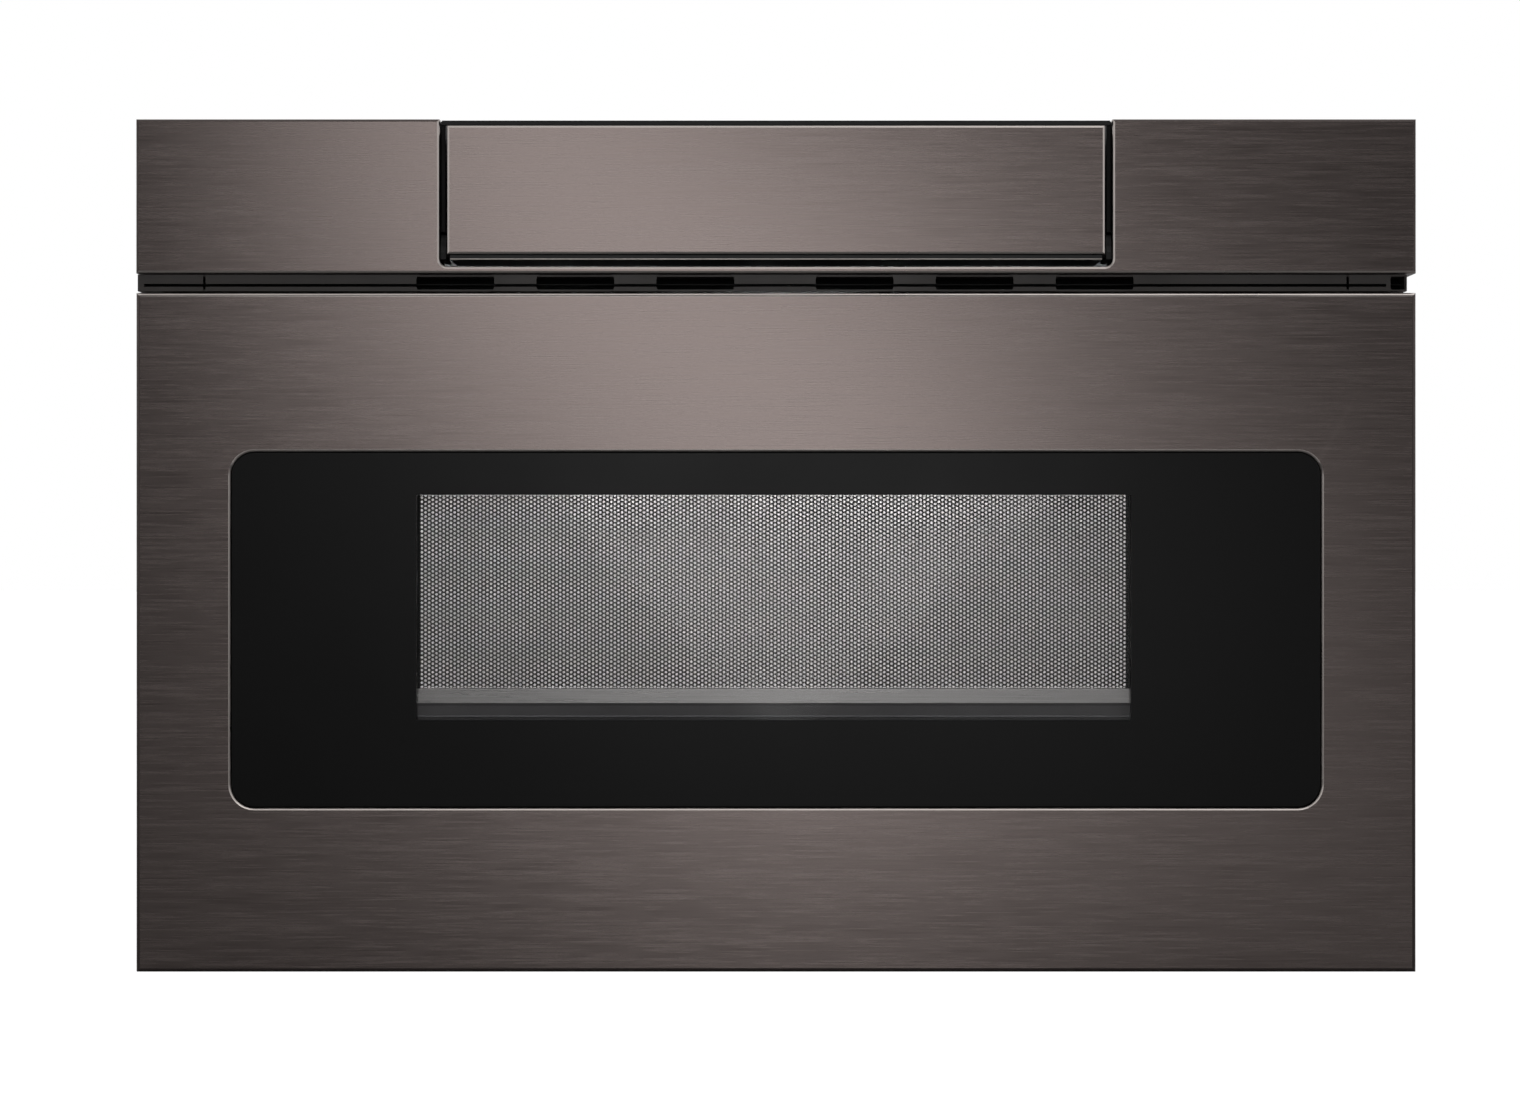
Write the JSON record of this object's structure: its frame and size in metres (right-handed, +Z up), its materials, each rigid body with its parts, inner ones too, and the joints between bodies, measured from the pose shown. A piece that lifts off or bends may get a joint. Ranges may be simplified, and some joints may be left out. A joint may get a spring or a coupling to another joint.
{
  "type": "microwave drawer",
  "caption": "Built-in microwave drawer: black stainless front with dark window, motor-driven bin on telescopic slides, tilt-out control panel and vented chassis.",
  "frame": {"origin": "centre of the chassis's footprint on the shelf that carries it, at the base plate's underside", "axes": "+X to the right as seen from the room, -Y out of the cabinet through the front, +Z up"},
  "size_m": [0.6064, 0.591, 0.404],
  "materials": {
    "black_stainless": "horizontally brushed, dark warm grey tint",
    "black_vent": "dark satin",
    "black_glass": "gloss black with a clear tinted window",
    "inner_glass": "clear, tinted",
    "key_glass": "gloss black",
    "screen_steel": "perforated, satin grey",
    "galvanised_steel": "galvanised",
    "black_steel": "black satin paint",
    "steel": "plain steel",
    "core_steel": "varnished laminations",
    "bright_steel": "zinc-plated",
    "gear_steel": "sintered steel",
    "cavity_paint": "light grey baked paint",
    "black_plastic": "moulded",
    "acetal": "natural moulded",
    "mica": "mica board",
    "ceramic": "glass-ceramic",
    "copper": "enamelled copper wire",
    "circuit_board": "solder resist",
    "aluminium": "plain"
  },
  "bodies": {
    "chassis": {"base_plate": "galvanised_steel", "side_panel_left": "galvanised_steel", "side_panel_right": "galvanised_steel", "back_plate": "galvanised_steel", "top_cover": "galvanised_steel", "front_frame": "black_steel", "upper_fascia": "black_stainless", "vent_grille": "black_vent", "oven_cavity": "cavity_paint", "waveguide_cover": "mica", "waveguide": "galvanised_steel", "stirrer_motor": "steel", "magnetron": "aluminium", "transformer_core": "core_steel", "transformer_windings": "copper", "hv_capacitor": "aluminium", "noise_filter_board": "circuit_board", "fan_shroud": "black_plastic", "fan_motor": "steel", "oven_lamp": "steel", "cord_gland": "black_plastic", "air_duct": "galvanised_steel", "interlock_switches": "black_plastic", "drive_motor": "steel", "panel_catch": "bright_steel", "rail_outer_left": "bright_steel", "rail_outer_right": "bright_steel", "shaft_bearing_left": "acetal", "shaft_bearing_right": "acetal", "hinge_bracket_left": "steel", "hinge_bracket_right": "steel"},
    "drawer": {"drawer_front_skin": "black_stainless", "window_glass": "black_glass", "door_screen": "screen_steel", "door_frame": "black_steel", "choke_cover": "black_plastic", "inner_window": "inner_glass", "drawer_bin": "cavity_paint", "ceramic_tray": "ceramic", "drawer_carrier": "galvanised_steel", "rail_inner_left": "bright_steel", "rail_inner_right": "bright_steel", "rack_left": "acetal", "rack_right": "acetal"},
    "middle_rail_left": {"rail_mid_left": "bright_steel"},
    "middle_rail_right": {"rail_mid_right": "bright_steel"},
    "drive_shaft_group": {"drive_shaft": "bright_steel", "pinion_left": "gear_steel", "pinion_right": "gear_steel", "shaft_gear": "acetal"},
    "motor_gear": {"motor_pinion": "gear_steel"},
    "stirrer": {"stirrer_fan": "aluminium"},
    "fan": {"fan_wheel": "black_plastic"},
    "control_panel": {"flap_skin": "black_stainless", "control_housing": "black_plastic", "key_panel": "key_glass", "control_board": "circuit_board"}
  },
  "joints": [
    {"name": "drawer_slide", "type": "slide", "parent": "chassis", "child": "drawer", "axis": [0, -1, 0], "range_m": [0, 0.381]},
    {"name": "middle_rail_left_slide", "type": "slide", "parent": "chassis", "child": "middle_rail_left", "axis": [0, -1, 0], "range_m": [0, 0.1905]},
    {"name": "middle_rail_right_slide", "type": "slide", "parent": "chassis", "child": "middle_rail_right", "axis": [0, -1, 0], "range_m": [0, 0.1905]},
    {"name": "drive_shaft_turn", "type": "hinge", "parent": "chassis", "child": "drive_shaft_group", "pos_m": [0, -0.245, 0.026], "axis": [1, 0, 0], "range_deg": [0, 1092]},
    {"name": "motor_pinion_turn", "type": "hinge", "parent": "chassis", "child": "motor_gear", "pos_m": [0, -0.2165, 0.026], "axis": [1, 0, 0], "range_deg": [-2366, 0]},
    {"name": "stirrer_turn", "type": "hinge", "parent": "chassis", "child": "stirrer", "pos_m": [0, -0.06, 0.29], "axis": [0, 0, 1], "continuous": true},
    {"name": "fan_turn", "type": "hinge", "parent": "chassis", "child": "fan", "pos_m": [0.163, 0.214, 0.248], "axis": [1, 0, 0], "continuous": true},
    {"name": "control_tilt", "type": "hinge", "parent": "chassis", "child": "control_panel", "pos_m": [0, -0.3065, 0.3232], "axis": [1, 0, 0], "range_deg": [0, 45]}
  ],
  "couplings": [
    {"joint": "middle_rail_left_slide", "follows": "drawer_slide", "ratio": 0.5},
    {"joint": "middle_rail_right_slide", "follows": "drawer_slide", "ratio": 0.5},
    {"joint": "drive_shaft_turn", "follows": "drawer_slide", "rad_per_m": 50},
    {"joint": "motor_pinion_turn", "follows": "drawer_slide", "rad_per_m": -108.33}
  ]
}
